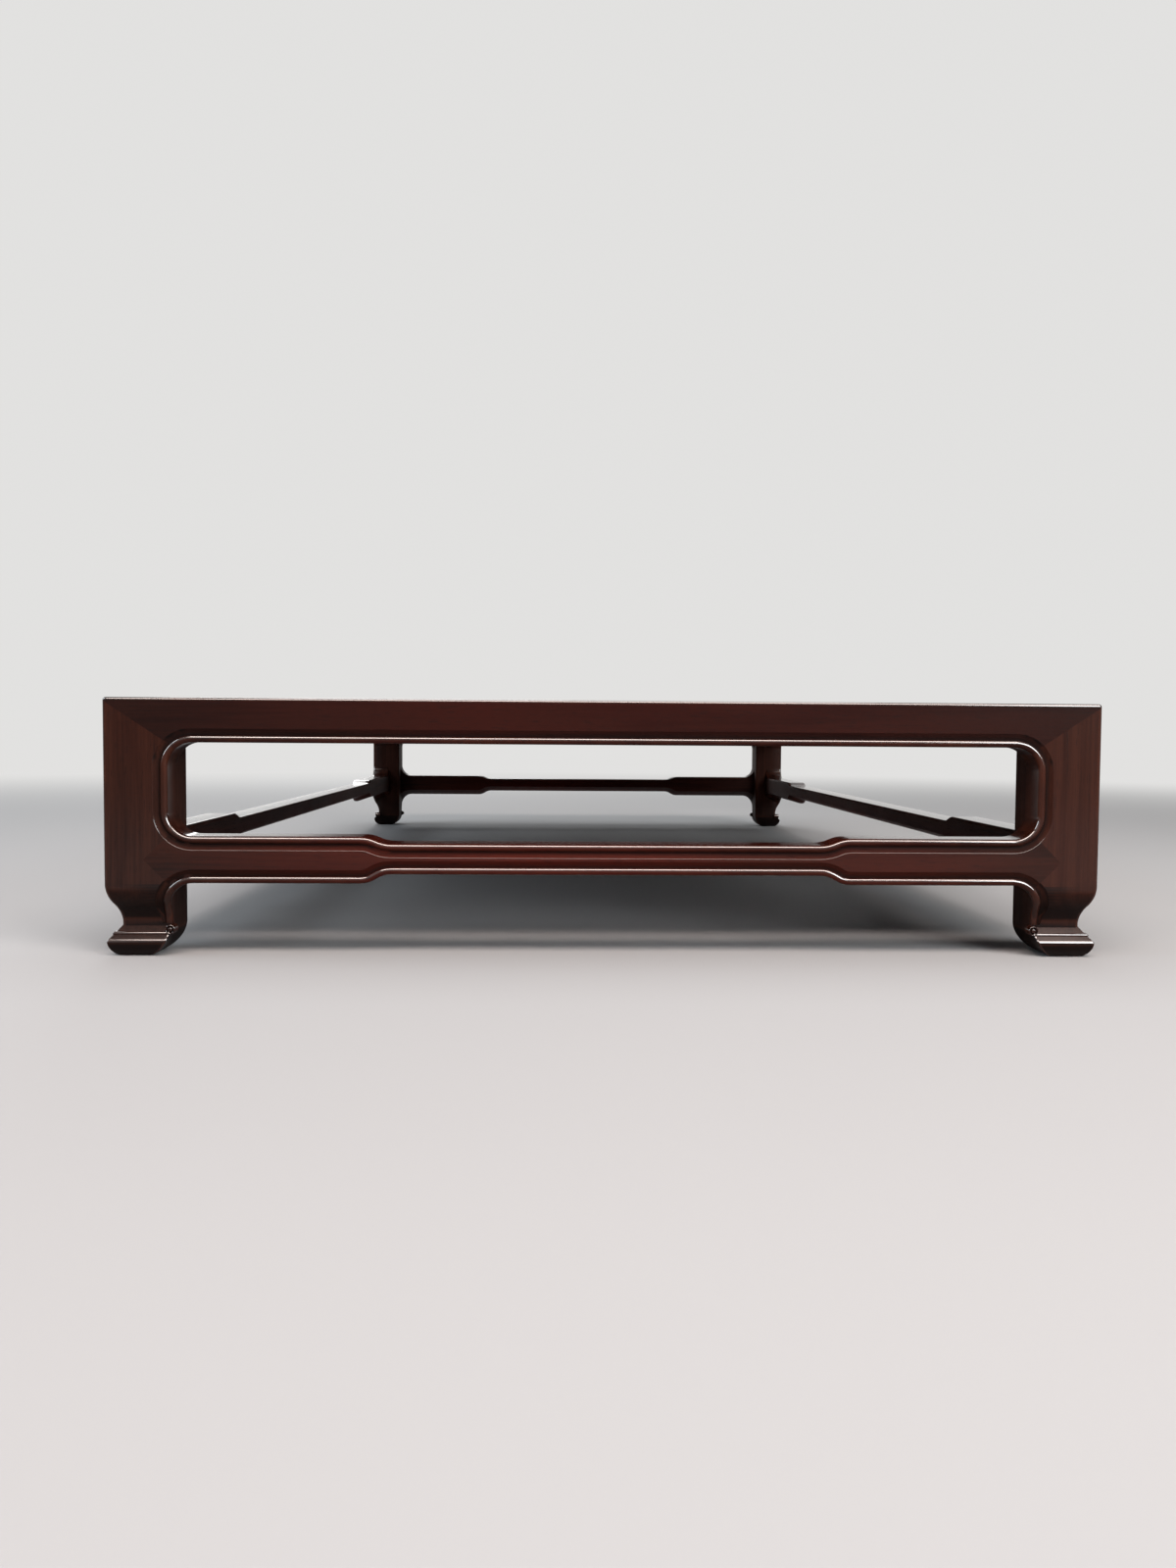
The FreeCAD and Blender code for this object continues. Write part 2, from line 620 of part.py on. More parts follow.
def make_rail(side, length, moulding, tenoned):
    """A rail of the top frame: mitred in plan, sloped at the ends over the legs, grooved for the
    panel. The side rails are tenoned into the end rails and hold the battens."""
    body = doc.addObject("PartDesign::Body", f"{side}_rail_body")
    tip = "corner_arris * (1 - sqrt(0.5))"
    plan = body_sketch(body, f"{side}_rail_plan", "XY_Plane", [[
        (tip, tip),
        ("corner_arris", "0", "corner_arris", 1),
        (f"{length} - corner_arris", "0"),
        (f"{length} - {tip}", tip, "corner_arris", 1),
        (f"{length} - rail_width", "rail_width"),
        ("rail_width", "rail_width"),
    ]], RAIL_BOTTOM)
    pad(body, plan, "rail_height")
    top = value("table_height")
    near_face = value("corner_arris")
    inner_face = value("rail_width")
    midway = value(length) / 2
    round_edges(body, f"{side}_rail_arris", "top_arris",
                lambda middle: middle.z > top - NEAR and middle.y < near_face)
    round_edges(body, f"{side}_rail_inner_arris", "small_arris",
                lambda middle: middle.y > inner_face - NEAR and abs(middle.x - midway) < NEAR)

    slope = [
        (-OVERSHOOT, f"{RAIL_BOTTOM} - {OVERSHOOT}"),
        ("leg_width", f"{RAIL_BOTTOM} - {OVERSHOOT}"),
        ("leg_width", RAIL_BOTTOM),
        (-OVERSHOOT, f"{SEAM_TOP} + {OVERSHOOT} * {SEAM_SLOPE}"),
    ]
    slopes = body_sketch(body, f"{side}_rail_slopes", "XZ_Plane", [slope, other_end(slope, length)])
    pocket_through(body, slopes)

    root = f"{RAIL_BOTTOM} + inner_arris + {OVERSHOOT}"
    corner = [
        ("leg_width", RAIL_BOTTOM),
        (f"leg_width + {CORNER_CUT}", f"{RAIL_BOTTOM} - {CORNER_CUT}"),
        ("leg_width + corner_radius", RAIL_BOTTOM, "corner_radius", -1),
        ("leg_width + corner_radius", root),
        ("leg_width", root),
    ]
    blank = join(f"{side}_rail_blank", [
        body,
        corner_block(f"{side}_rail_corner1", corner, "corner_depth"),
        corner_block(f"{side}_rail_corner2", other_end(corner, length), "corner_depth"),
    ])

    room = "joint_clearance"
    tools = [
        box(f"{side}_rail_groove", ("0", length),
            ("rail_width - rail_groove_depth", f"rail_width + {OVERSHOOT}"),
            (f"{TONGUE_BOTTOM} - {room}", f"{TONGUE_TOP} + {room}")),
        moulding,
    ]
    for number, far_end in enumerate((None, length), start=1):
        tools.append(leg_tenon(f"{side}_rail_leg_mortise{number}", room, far_end))
        if not tenoned:
            tools.append(mitre_tenon(f"{side}_rail_mitre_mortise{number}", True, room, far_end))
    if tenoned:
        for number, place in enumerate(batten_places(), start=1):
            tools.append(box(
                f"{side}_rail_batten_mortise{number}",
                (f"{place} - batten_tenon_width / 2 - {room}",
                 f"{place} + batten_tenon_width / 2 + {room}"),
                (f"rail_width - batten_tenon_length - {room}", f"rail_width + {OVERSHOOT}"),
                (f"{BATTEN_TENON_BOTTOM} - {room}", f"{BATTEN_TENON_TOP} + {room}"),
            ))
    rail = cut_all(f"{side}_rail", blank, tools)
    if tenoned:
        tenons = [mitre_tenon(f"{side}_rail_mitre_tenon{number}", False, "0", far_end)
                  for number, far_end in enumerate((None, length), start=1)]
        rail = join(f"{side}_rail_tenoned", [rail, *tenons])
    return rail


# Stretchers

def make_stretcher(side, length, waist_start, mouldings, underside):
    """A flat bar between two legs: V-mitred shoulders and a tenon at each end, rounded into the
    legs, waisted above and below, and planed underneath so that it thins to the inside."""
    body = doc.addObject("PartDesign::Body", f"{side}_stretcher_body")
    right = f"{length} - leg_width"
    face = body_sketch(body, f"{side}_stretcher_face", "XZ_Plane", [[
        (STRETCHER_TIP, STRETCHER_MIDDLE),
        (f"leg_width + {CORNER_CUT}", f"stretcher_level - {CORNER_CUT}"),
        ("leg_width + corner_radius", "stretcher_level", "corner_radius", -1),
        *lower_edge(length, waist_start),
        (f"{right} - corner_radius", "stretcher_level"),
        (f"{right} - {CORNER_CUT}", f"stretcher_level - {CORNER_CUT}", "corner_radius", -1),
        (f"{length} - {STRETCHER_TIP}", STRETCHER_MIDDLE),
        (f"{right} - {CORNER_CUT}", f"{STRETCHER_TOP} + {CORNER_CUT}"),
        (f"{right} - corner_radius", STRETCHER_TOP, "corner_radius", -1),
        *upper_edge(length, waist_start),
        ("leg_width + corner_radius", STRETCHER_TOP),
        (f"leg_width + {CORNER_CUT}", f"{STRETCHER_TOP} + {CORNER_CUT}", "corner_radius", -1),
    ]])
    pad(body, face, STRETCHER_THICKNESS, inward=True)
    inner_face = value(STRETCHER_THICKNESS)
    midway = value(STRETCHER_MIDDLE)
    shoulder = value(f"leg_width + {CORNER_CUT}")
    far_shoulder = value(length) - shoulder
    round_edges(body, f"{side}_stretcher_arris", "inner_arris",
                lambda middle: middle.y > inner_face - NEAR and middle.z > midway
                and shoulder < middle.x < far_shoulder)
    bar = cut_all(f"{side}_stretcher", body, [*mouldings, underside])
    tenon = stretcher_tenon(f"{side}_stretcher_tenon", "0")
    middle_plane = doc.addObject("Part::Mirroring", f"{side}_stretcher_tenon_right")
    middle_plane.Source = tenon
    middle_plane.Normal = Vector(1, 0, 0)
    bind(middle_plane, **{"Base.x": f"{length} / 2"})
    return join(f"{side}_stretcher_tenoned", [bar, tenon, middle_plane])


# Panel

def board_edges(index, margin):
    """The left and right edge of a panel board, with margin beyond the panel's outer edges."""
    count = len(BOARD_NAMES)
    panel = "(table_width - 2 * rail_width - 2 * panel_gap)"
    left = f"rail_width + panel_gap + {index} * {panel} / {count}"
    right = f"rail_width + panel_gap + {index + 1} * {panel} / {count}"
    if index == 0:
        left = f"{left} - {margin}"
    if index == count - 1:
        right = f"{right} + {margin}"
    return left, right


def rectangle(left, right, front, rear):
    return [(left, front), (right, front), (right, rear), (left, rear)]


def dovetail(place, room):
    """Section across a batten's dovetail, or with room the slot for it in the panel."""
    neck = f"dovetail_neck / 2 + {room}"
    wide = f"dovetail_neck / 2 + dovetail_flare + {room}"
    top = f"{PANEL_BOTTOM} + dovetail_height + {room}"
    return [
        (f"{place} - ({neck})", PANEL_BOTTOM),
        (f"{place} + ({neck})", PANEL_BOTTOM),
        (f"{place} + ({wide})", top),
        (f"{place} - ({wide})", top),
    ]


def make_board(index, name):
    """One board of the panel, tongued where it enters the frame and slotted for the battens."""
    body = doc.addObject("PartDesign::Body", name)
    end = "rail_width + panel_gap"
    reach = "(tongue_length + panel_gap)"
    left, right = board_edges(index, "0")
    plan = body_sketch(body, f"{name}_plan", "XY_Plane",
                       [rectangle(left, right, end, f"table_length - ({end})")], PANEL_BOTTOM)
    pad(body, plan, "panel_thickness")
    top = value("table_height - panel_drop")
    joints = [value(edge) for edge in board_edges(index, "0")]
    outer = [value("rail_width + panel_gap"), value("table_width - rail_width - panel_gap")]
    glued = [joint for joint in joints if min(abs(joint - edge) for edge in outer) > NEAR]
    round_edges(body, f"{name}_arris", "small_arris",
                lambda middle: middle.z > top - NEAR
                and all(abs(middle.x - joint) > NEAR for joint in glued))
    left, right = board_edges(index, reach)
    front = f"{end} - {reach}"
    tongue = body_sketch(body, f"{name}_tongue", "XY_Plane",
                         [rectangle(left, right, front, f"table_length - ({front})")], TONGUE_BOTTOM)
    pad(body, tongue, "tongue_thickness")
    slots = body_sketch(body, f"{name}_slots", "YZ_Plane",
                        [dovetail(place, "joint_clearance") for place in batten_places()])
    pocket_through(body, slots)
    return body


def make_batten(place, name):
    """A batten across the panel: a flat bar with a dovetail along its top and a tenon at each end."""
    body = doc.addObject("PartDesign::Body", name)
    tail = dovetail(place, "0")
    section = body_sketch(body, f"{name}_section", "YZ_Plane", [[
        (f"{place} - batten_width / 2", BATTEN_BOTTOM),
        (f"{place} + batten_width / 2", BATTEN_BOTTOM),
        (f"{place} + batten_width / 2", PANEL_BOTTOM),
        *tail[1:],
        tail[0],
        (f"{place} - batten_width / 2", PANEL_BOTTOM),
    ]], "rail_width")
    pad(body, section, "table_width - 2 * rail_width")
    bottom = value(BATTEN_BOTTOM)
    midway = value("table_width / 2")
    round_edges(body, f"{name}_arris", "small_arris",
                lambda middle: middle.z < bottom + NEAR and abs(middle.x - midway) < NEAR)
    tenons = body_sketch(body, f"{name}_tenons", "YZ_Plane", [rectangle(
        f"{place} - batten_tenon_width / 2", f"{place} + batten_tenon_width / 2",
        BATTEN_TENON_BOTTOM, BATTEN_TENON_TOP,
    )], "rail_width - batten_tenon_length")
    pad(body, tenons, "table_width - 2 * rail_width + 2 * batten_tenon_length")
    return body


# Assembly: corner coordinates to the table's own origin, and mirror images on the far sides

nodes = []


def place_piece(piece, label, turned=False):
    """Put a piece where it belongs; a turned piece lies along the left side of the table."""
    piece.Label = label
    if turned:
        piece.Placement = Placement(Vector(), Rotation(Vector(0, 0, 1), -90))
    bind(piece, x="-table_width / 2", y="table_length / 2" if turned else "-table_length / 2")
    nodes.append(piece)
    return piece


def place_mirrored(piece, label, normal):
    """The same piece on the other side of the table."""
    image = mirrored(f"{label}_image", piece, normal)
    image.Label = label
    nodes.append(image)
    return image


ACROSS = Vector(1, 0, 0)
ALONG = Vector(0, 1, 0)

end_mouldings = [
    opening_moulding("end", "table_width", "end_waist_start"),
    lower_moulding("end", "table_width", "end_waist_start"),
]
side_mouldings = [
    opening_moulding("side", "table_length", "side_waist_start"),
    lower_moulding("side", "table_length", "side_waist_start"),
]

end_underside = underside_slope("end", "table_width", "end_waist_start")
side_underside = underside_slope("side", "table_length", "side_waist_start")

front_left = place_piece(make_leg(end_mouldings, end_underside), "leg_front_left")
front_right = place_mirrored(front_left, "leg_front_right", ACROSS)
place_mirrored(front_left, "leg_rear_left", ALONG)
place_mirrored(front_right, "leg_rear_right", ALONG)

end_rail = make_rail("end", "table_width", end_mouldings[0], tenoned=False)
place_mirrored(place_piece(end_rail, "end_rail_front"), "end_rail_rear", ALONG)
side_rail = make_rail("side", "table_length", side_mouldings[0], tenoned=True)
place_mirrored(place_piece(side_rail, "side_rail_left", turned=True), "side_rail_right", ACROSS)

end_stretcher = make_stretcher("end", "table_width", "end_waist_start",
                               end_mouldings, end_underside)
place_mirrored(place_piece(end_stretcher, "end_stretcher_front"), "end_stretcher_rear", ALONG)
side_stretcher = make_stretcher("side", "table_length", "side_waist_start",
                                side_mouldings, side_underside)
place_mirrored(place_piece(side_stretcher, "side_stretcher_left", turned=True),
               "side_stretcher_right", ACROSS)

for index, position in enumerate(BOARD_NAMES):
    place_piece(make_board(index, f"panel_board_{position}"), f"panel_board_{position}")
for place, position in zip(batten_places(), BATTEN_NAMES):
    place_piece(make_batten(place, f"batten_{position}"), f"batten_{position}")

doc.recompute()

# Every object must have come out sound before anything is written
failed = [item.Name for item in doc.Objects if {"Invalid", "Error"} & set(item.State)]
if failed:
    raise RuntimeError(f"not built: {failed}")
for node in nodes:
    shape = node.Shape
    if shape.isNull() or not shape.isValid() or len(shape.Solids) != 1:
        raise RuntimeError(f"{node.Label} is not one sound solid")

os.makedirs("parts", exist_ok=True)
for node in nodes:
    node.Shape.exportStep(os.path.join("parts", f"{node.Label}.step"))
print(f"{len(nodes)} pieces written")
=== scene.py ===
from math import acos, asin, cos, pi, radians, sin, sqrt

import bmesh
import bpy
from mathutils import Matrix, Vector
from mathutils.kdtree import KDTree


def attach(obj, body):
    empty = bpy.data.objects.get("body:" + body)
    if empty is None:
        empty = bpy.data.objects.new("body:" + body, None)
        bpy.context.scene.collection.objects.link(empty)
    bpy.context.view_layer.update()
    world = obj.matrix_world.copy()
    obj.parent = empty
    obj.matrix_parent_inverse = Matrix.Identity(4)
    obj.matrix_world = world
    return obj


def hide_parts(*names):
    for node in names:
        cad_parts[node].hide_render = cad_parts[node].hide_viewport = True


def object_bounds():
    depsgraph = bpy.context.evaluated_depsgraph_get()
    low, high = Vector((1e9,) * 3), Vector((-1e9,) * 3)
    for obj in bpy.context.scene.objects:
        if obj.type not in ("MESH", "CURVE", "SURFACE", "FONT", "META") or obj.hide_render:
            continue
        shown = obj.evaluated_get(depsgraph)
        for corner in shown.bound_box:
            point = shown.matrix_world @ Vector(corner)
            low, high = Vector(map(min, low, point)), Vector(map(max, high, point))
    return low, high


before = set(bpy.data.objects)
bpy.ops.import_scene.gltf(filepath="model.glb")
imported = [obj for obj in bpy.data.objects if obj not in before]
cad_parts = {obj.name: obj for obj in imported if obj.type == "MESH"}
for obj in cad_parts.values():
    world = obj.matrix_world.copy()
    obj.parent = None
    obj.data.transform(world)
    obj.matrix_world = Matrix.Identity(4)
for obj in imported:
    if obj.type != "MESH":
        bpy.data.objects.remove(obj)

cad_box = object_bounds()

# Legs
# Four square posts of solid rosewood with the grain upright, sawn on both outer faces to a sweep that turns
# out again into a small toe. The bead of each inner edge is carved on down the sweep to a curl above the toe.
# Two tenons go up into the mitred top frame, and the stretchers are tenoned into the sides.
MM = 0.001
LEG_WIDTH = 22 * MM
SWEEP_TOP = 25.5 * MM
NECK_LEVEL = 11.1 * MM
NECK_INSET = 4.5 * MM
STRETCHER_LEVEL = 25.8 * MM
CORNER_RADIUS = 8.5 * MM
BEAD_RADIUS = 1.3 * MM
BEAD_DROP = 0.15 * MM
QUIRK_DEPTH = 1.05 * MM
COVE_WIDTH = 2.6 * MM
CARVER_REACH = 1.5 * MM
COVE_LEFT = 0.3
QUIRK_LEFT = 0.6
SCROLL_LEVEL = 9.3 * MM
SCROLL_RADIUS = 1.7 * MM
TOE_LIP = 5.6 * MM
LIP_INSET = 0.6 * MM
HEEL_INSET = 3.7 * MM
SCROLL_FRONT = 2.0 * MM
SCROLL_REACH = 2.2 * MM
TOE_TOP = 11.0 * MM
TOE_ROUNDING = 0.5 * MM
SCROLL_ROUNDING = 0.28 * MM
NEAR = 0.02 * MM
SHARP_ANGLE = radians(25)
BEAD_STEPS = 14
COVE_STEPS = 8
CORNER_STEPS = 10
SWEEP_STEPS = 16
CARVING_START = radians(52)
WELD_DISTANCE = 0.002 * MM
FLAT_ANGLE = radians(0.3)
SMOOTH_ANGLE = radians(32)
STRIP_WIDTH = 1.0 * MM
ARRIS_RADIUS = 0.8 * MM
ARRIS_SHARE = 0.34
ROUNDING_RADIUS = 3.0 * MM
HOLLOW_RADIUS = 6.0 * MM
SUNK_TURN = radians(-40)
SUNK_REACH = 2.0 * MM
LEG_SIDES = {"left": -1, "right": 1}
LEG_ENDS = {"front": -1, "rear": 1}
(LOW_X, LOW_Y, _), (HIGH_X, HIGH_Y, HIGH_Z) = cad_box
HALF_WIDTH = (HIGH_X - LOW_X) / 2
HALF_LENGTH = (HIGH_Y - LOW_Y) / 2


def work_on(piece):
    """Leave only this piece selected and active."""
    bpy.ops.object.select_all(action="DESELECT")
    piece.select_set(True)
    bpy.context.view_layer.objects.active = piece


def joined_copy(node, name):
    """Copy a node's mesh into a new piece and join its loose triangles into one skin."""
    piece = bpy.data.objects.new(name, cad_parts[node].data.copy())
    bpy.context.scene.collection.objects.link(piece)
    work_on(piece)
    bpy.ops.mesh.customdata_custom_splitnormals_clear()
    bpy.ops.object.mode_set(mode="EDIT")
    bpy.ops.mesh.select_all(action="SELECT")
    bpy.ops.mesh.remove_doubles(threshold=WELD_DISTANCE)
    bpy.ops.object.mode_set(mode="OBJECT")
    return piece


def flatten(piece):
    """Join the triangles of each flat face into one."""
    work_on(piece)
    bpy.ops.object.mode_set(mode="EDIT")
    bpy.ops.mesh.select_all(action="SELECT")
    bpy.ops.mesh.dissolve_limited(angle_limit=FLAT_ANGLE)
    bpy.ops.object.mode_set(mode="OBJECT")


def sharpest_bend(face):
    """The strongest smooth bend of a face towards a neighbour, in turn per metre, below 0 if hollow."""
    bends = [0.0]
    for edge in face.edges:
        turn = edge.calc_face_angle_signed(0)
        if len(edge.link_faces) == 2 and abs(turn) < SMOOTH_ANGLE:
            first, second = edge.link_faces
            along = (edge.verts[1].co - edge.verts[0].co).normalized()
            step = second.calc_center_median_weighted() - first.calc_center_median_weighted()
            across = (step - along * step.dot(along)).length
            if across > NEAR:
                bends.append(turn / across)
    return max(bends, key=abs)


def mark_edges(piece):
    """Note which faces are rounded (above 0) or hollow (-1), and how near a corner is to a sunk edge."""
    mesh = bmesh.new()
    mesh.from_mesh(piece.data)
    deep = [edge for edge in mesh.edges if edge.calc_face_angle_signed(0) < SUNK_TURN]
    deep_points = KDTree(2 * len(deep))
    for edge in deep:
        for point in edge.verts:
            deep_points.insert(point.co, point.index)
    deep_points.balance()
    rounded = []
    sunk = []
    for face in mesh.faces:
        length = max(edge.calc_length() for edge in face.edges)
        width = face.calc_area() / length
        bend = sharpest_bend(face) if width < STRIP_WIDTH else 0.0
        if bend > 1 / ARRIS_RADIUS:
            rounded.append(ARRIS_SHARE)
        elif bend > 1 / ROUNDING_RADIUS:
            rounded.append(1.0)
        else:
            rounded.append(-1.0 if bend < -1 / HOLLOW_RADIUS else 0.0)
        for point in face.verts:
            near = deep and width < STRIP_WIDTH
            distance = deep_points.find(point.co)[2] if near else SUNK_REACH
            sunk.append(max(0.0, 1 - distance / SUNK_REACH))
    mesh.free()
    piece.data.attributes.new("rounded", "FLOAT", "FACE").data.foreach_set("value", rounded)
    piece.data.attributes.new("sunk", "FLOAT", "CORNER").data.foreach_set("value", sunk)


def smooth_finish(piece):
    """Shade the rounded faces smooth and keep the flat ones flat."""
    mark_edges(piece)
    work_on(piece)
    bpy.ops.object.shade_smooth_by_angle(angle=SMOOTH_ANGLE)
    level = piece.modifiers.new("flat_faces", "WEIGHTED_NORMAL")
    level.keep_sharp = True
    bpy.ops.object.modifier_apply(modifier=level.name)


def hand_over(piece, node, material):
    """Give the piece its wood and let it stand for its node."""
    piece.data.materials.clear()
    piece.data.materials.append(material)
    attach(piece, "root")
    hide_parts(node)


def sweep_depth(level):
    """How far a leg's outer faces lie inside its full width at this height."""
    drop = SWEEP_TOP - NECK_LEVEL
    radius = (NECK_INSET ** 2 + drop ** 2) / (4 * NECK_INSET)
    if level >= SWEEP_TOP:
        return 0.0
    if level <= NECK_LEVEL:
        return NECK_INSET
    if level > (SWEEP_TOP + NECK_LEVEL) / 2:
        return radius - sqrt(radius ** 2 - (SWEEP_TOP - level) ** 2)
    return NECK_INSET - radius + sqrt(radius ** 2 - (level - NECK_LEVEL) ** 2)


def moulding_outline(cove_width, quirk_depth):
    """Waste beside the bead as (distance from the edge, depth below the face) round the outline."""
    bead_edge = BEAD_DROP + BEAD_RADIUS
    quirk_angle = pi - asin((bead_edge - quirk_depth) / BEAD_RADIUS)
    quirk = BEAD_RADIUS * (1 - cos(quirk_angle))
    cove_radius = (cove_width ** 2 + quirk_depth ** 2) / (2 * quirk_depth)
    cove_angle = acos((cove_radius - quirk_depth) / cove_radius)
    outline = [(-CARVER_REACH, -CARVER_REACH), (-CARVER_REACH, bead_edge)]
    for step in range(BEAD_STEPS + 1):
        angle = quirk_angle * step / BEAD_STEPS
        outline.append((BEAD_RADIUS * (1 - cos(angle)), bead_edge - BEAD_RADIUS * sin(angle)))
    for step in range(1, COVE_STEPS + 1):
        angle = cove_angle * step / COVE_STEPS
        outline.append((quirk + cove_radius * sin(angle), quirk_depth - cove_radius * (1 - cos(angle))))
    outline.append((outline[-1][0], -CARVER_REACH))
    return outline


def carving_stations():
    """Points down the leg's inner edge, each with the direction into the face and the moulding's outline."""
    corner_level = STRETCHER_LEVEL - CORNER_RADIUS
    stations = []
    for step in range(CORNER_STEPS + 1):
        angle = CARVING_START * (1 - step / CORNER_STEPS)
        edge = LEG_WIDTH + CORNER_RADIUS * (1 - cos(angle))
        level = corner_level + CORNER_RADIUS * sin(angle)
        stations.append((edge, level, -cos(angle), sin(angle), moulding_outline(COVE_WIDTH, QUIRK_DEPTH)))
    for step in range(1, SWEEP_STEPS + 1):
        down = step / SWEEP_STEPS
        level = corner_level + (NECK_LEVEL - corner_level) * down
        cove_width = COVE_WIDTH * (1 - down * (1 - COVE_LEFT))
        quirk_depth = QUIRK_DEPTH * (1 - down * (1 - QUIRK_LEFT))
        stations.append((LEG_WIDTH, level, -1.0, 0.0, moulding_outline(cove_width, quirk_depth)))
    return stations


def carve_bead(leg, side, end, along_side):
    """Cut the quirk and cove beside one bead down the sweep of a leg."""
    stations = carving_stations()
    points = []
    for edge, level, away, rise, outline in stations:
        for distance, depth in outline:
            across = edge + distance * away
            height = level + distance * rise
            inset = sweep_depth(height) + depth
            if along_side:
                across, inset = inset, across
            points.append((side * (HALF_WIDTH - across), end * (HALF_LENGTH - inset), height))
    count = len(stations[0][-1])
    faces = [tuple(range(count)), tuple(range(len(points) - count, len(points)))]
    for row in range(len(stations) - 1):
        for column in range(count):
            low = row * count + column
            high = row * count + (column + 1) % count
            faces.append((low, high, high + count, low + count))
    mesh = bpy.data.meshes.new("bead_carver")
    mesh.from_pydata(points, [], faces)
    carver = bpy.data.objects.new("bead_carver", mesh)
    bpy.context.scene.collection.objects.link(carver)
    work_on(carver)
    bpy.ops.object.mode_set(mode="EDIT")
    bpy.ops.mesh.select_all(action="SELECT")
    bpy.ops.mesh.normals_make_consistent(inside=False)
    bpy.ops.object.mode_set(mode="OBJECT")
    work_on(leg)
    cut = leg.modifiers.new("bead", "BOOLEAN")
    cut.operation = "DIFFERENCE"
    cut.solver = "EXACT"
    cut.object = carver
    bpy.ops.object.modifier_apply(modifier=cut.name)
    bpy.data.objects.remove(carver)


def round_edges(piece, wanted, width):
    """Round over the edges of a piece whose two ends and outward angle are wanted."""
    work_on(piece)
    bpy.ops.object.mode_set(mode="EDIT")
    bpy.ops.mesh.select_mode(type="EDGE")
    bpy.ops.mesh.select_all(action="DESELECT")
    mesh = bmesh.from_edit_mesh(piece.data)
    for edge in mesh.edges:
        if len(edge.link_faces) == 2:
            angle = edge.calc_face_angle_signed()
            edge.select_set(wanted(edge.verts[0].co, edge.verts[1].co, angle))
    bmesh.update_edit_mesh(piece.data)
    bpy.ops.mesh.bevel(offset=width, segments=3, affect="EDGES", clamp_overlap=False)
    bpy.ops.object.mode_set(mode="OBJECT")


def round_toe(leg, side, end):
    """Round the lip, the corners and the sole of a toe, and the rim and ring of its two curls."""
    def insets(point):
        return HALF_WIDTH - side * point.x, HALF_LENGTH - end * point.y, point.z

    def on_toe(first, second, angle):
        low = first.z < TOE_TOP and second.z < TOE_TOP
        ends = (insets(first), insets(second))
        lip = all(abs(z - TOE_LIP) < NEAR and min(across, inset) < LIP_INSET for across, inset, z in ends)
        corner = all(abs(across - inset) < NEAR for across, inset, z in ends)
        below = all(z < SCROLL_LEVEL - SCROLL_RADIUS for across, inset, z in ends)
        flank = below and all(min(across, inset) < HEEL_INSET for across, inset, z in ends)
        return low and angle > SHARP_ANGLE and (lip or corner or flank)

    def on_curl(first, second, angle):
        ends = (insets(first), insets(second))
        faces = [all(abs(point[way] - SCROLL_FRONT) < NEAR for point in ends) for way in (0, 1)]
        near = all(abs(point[2] - SCROLL_LEVEL) < SCROLL_REACH for point in ends)
        return near and angle > SHARP_ANGLE and any(faces)

    round_edges(leg, on_curl, SCROLL_ROUNDING)
    round_edges(leg, on_toe, TOE_ROUNDING)


def put(tree, kind, inputs=None, **options):
    """Add a node with its options set; an input given as a socket is linked, any other is set."""
    made = tree.nodes.new(kind)
    for option, value in options.items():
        setattr(made, option, value)
    for title, value in (inputs or {}).items():
        if isinstance(value, bpy.types.NodeSocket):
            tree.links.new(value, made.inputs[title])
        else:
            made.inputs[title].default_value = value
    return made


def blend_colours(tree, share, first, second):
    """Mix two colours and give the result's socket."""
    mix = put(tree, "ShaderNodeMix", data_type="RGBA")
    for socket, value in zip((mix.inputs[0], mix.inputs[6], mix.inputs[7]), (share, first, second)):
        if isinstance(value, bpy.types.NodeSocket):
            tree.links.new(value, socket)
        else:
            socket.default_value = value
    return mix.outputs[2]


def new_group(name, inputs, outputs):
    """Start a shader node group; give its tree, its input sockets and its output sockets."""
    group = bpy.data.node_groups.new(name, "ShaderNodeTree")
    for title, kind, value in inputs:
        group.interface.new_socket(title, in_out="INPUT", socket_type=kind).default_value = value
    for title, kind in outputs:
        group.interface.new_socket(title, in_out="OUTPUT", socket_type=kind)
    return group, group.nodes.new("NodeGroupInput").outputs, group.nodes.new("NodeGroupOutput").inputs


def vector(tree, operation, first, second):
    """Work out a vector from two others."""
    return put(tree, "ShaderNodeVectorMath", {0: first, 1: second}, operation=operation).outputs[0]


def number(tree, operation, first, second=0.0, third=0.0):
    """Work out a number from one, two or three others."""
    return put(tree, "ShaderNodeMath", {0: first, 1: second, 2: third}, operation=operation).outputs[0]


def share(tree, value, low, high, easing="LINEAR"):
    """Turn a value into a share that rises from 0 at low to 1 at high."""
    inputs = {0: value, 1: low, 2: high, 3: 0.0, 4: 1.0}
    return put(tree, "ShaderNodeMapRange", inputs, interpolation_type=easing).outputs[0]


def noise(tree, place, stretch, detail, roughness=0.5):
    """Noise at a place that is stretched by its own amount in each direction."""
    stretched = vector(tree, "MULTIPLY", place, stretch)
    inputs = {"Vector": stretched, "Scale": 1.0, "Detail": detail, "Roughness": roughness}
    return put(tree, "ShaderNodeTexNoise", inputs).outputs


